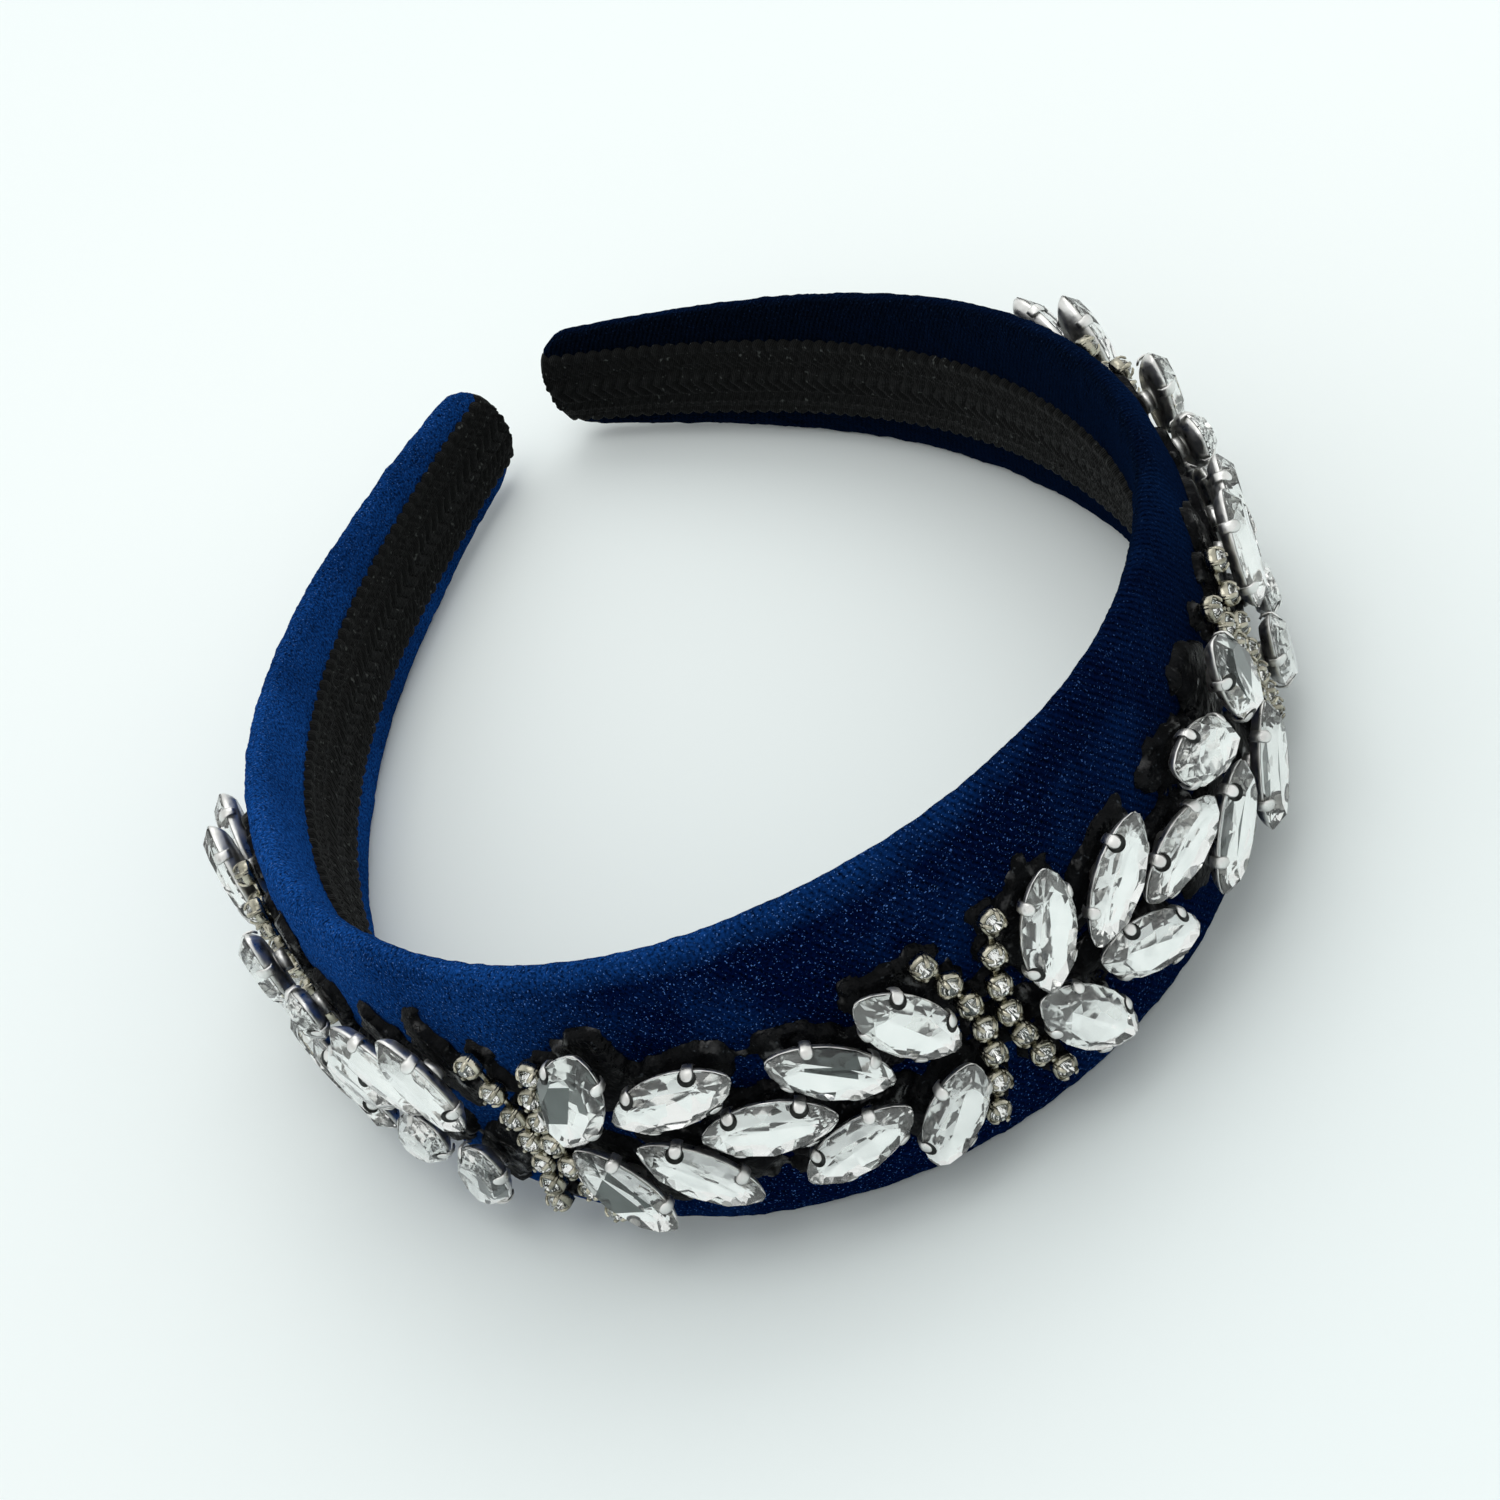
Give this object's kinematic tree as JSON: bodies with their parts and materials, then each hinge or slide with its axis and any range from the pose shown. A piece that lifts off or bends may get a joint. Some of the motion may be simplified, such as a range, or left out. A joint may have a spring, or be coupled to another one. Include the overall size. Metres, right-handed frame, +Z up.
{
  "type": "padded headband",
  "caption": "Padded velvet headband with a braid lining and a front of claw-set crystal leaf sprays joined by small bent stone chains.",
  "frame": {"origin": "middle of the footprint of the band as it lies on its side edge, at the surface it lies on", "axes": "+Z up from the surface, across the width of the band; -Y towards the middle of the decorated crown, +Y towards the two ends; +X towards the right end as seen from the front"},
  "size_m": [0.1262, 0.1674, 0.0428],
  "materials": {
    "velvet": "short napped royal blue velvet over padding",
    "braid": "matt black woven braid with small looped edges",
    "felt": "thin black backing felt",
    "crystal": "clear cut glass with a silvered back",
    "setting_metal": "plated steel claw cups, slightly dulled",
    "chain_metal": "pale plated cups and links"
  },
  "bodies": {
    "root": {"velvet_band": "velvet", "lining_braid": "braid", "backing_felt": "felt", "left_sprig": "crystal", "right_sprig": "crystal", "left_arm_leaf_1": "crystal", "left_arm_leaf_2": "crystal", "left_arm_leaf_3": "crystal", "left_arm_leaf_4": "crystal", "left_arm_leaf_5": "crystal", "left_arm_leaf_6": "crystal", "left_arm_leaf_7": "crystal", "left_arm_leaf_8": "crystal", "left_arm_leaf_9": "crystal", "left_crown_leaf_1": "crystal", "left_crown_leaf_2": "crystal", "left_crown_leaf_3": "crystal", "left_crown_leaf_4": "crystal", "left_crown_leaf_5": "crystal", "left_crown_leaf_6": "crystal", "left_crown_leaf_7": "crystal", "left_crown_leaf_8": "crystal", "left_crown_leaf_9": "crystal", "right_crown_leaf_1": "crystal", "right_crown_leaf_2": "crystal", "right_crown_leaf_3": "crystal", "right_crown_leaf_4": "crystal", "right_crown_leaf_5": "crystal", "right_crown_leaf_6": "crystal", "right_crown_leaf_7": "crystal", "right_crown_leaf_8": "crystal", "right_crown_leaf_9": "crystal", "right_arm_leaf_1": "crystal", "right_arm_leaf_2": "crystal", "right_arm_leaf_3": "crystal", "right_arm_leaf_4": "crystal", "right_arm_leaf_5": "crystal", "right_arm_leaf_6": "crystal", "right_arm_leaf_7": "crystal", "right_arm_leaf_8": "crystal", "right_arm_leaf_9": "crystal", "left_sprig_settings": "setting_metal", "left_arm_settings": "setting_metal", "left_crown_settings": "setting_metal", "right_crown_settings": "setting_metal", "right_arm_settings": "setting_metal", "right_sprig_settings": "setting_metal", "chain_1": "chain_metal", "chain_2": "chain_metal", "chain_3": "chain_metal", "chain_4": "chain_metal", "chain_5": "chain_metal", "chain_6": "chain_metal", "chain_7": "chain_metal", "chain_8": "chain_metal", "chain_9": "chain_metal", "chain_10": "chain_metal"}
  },
  "joints": []
}
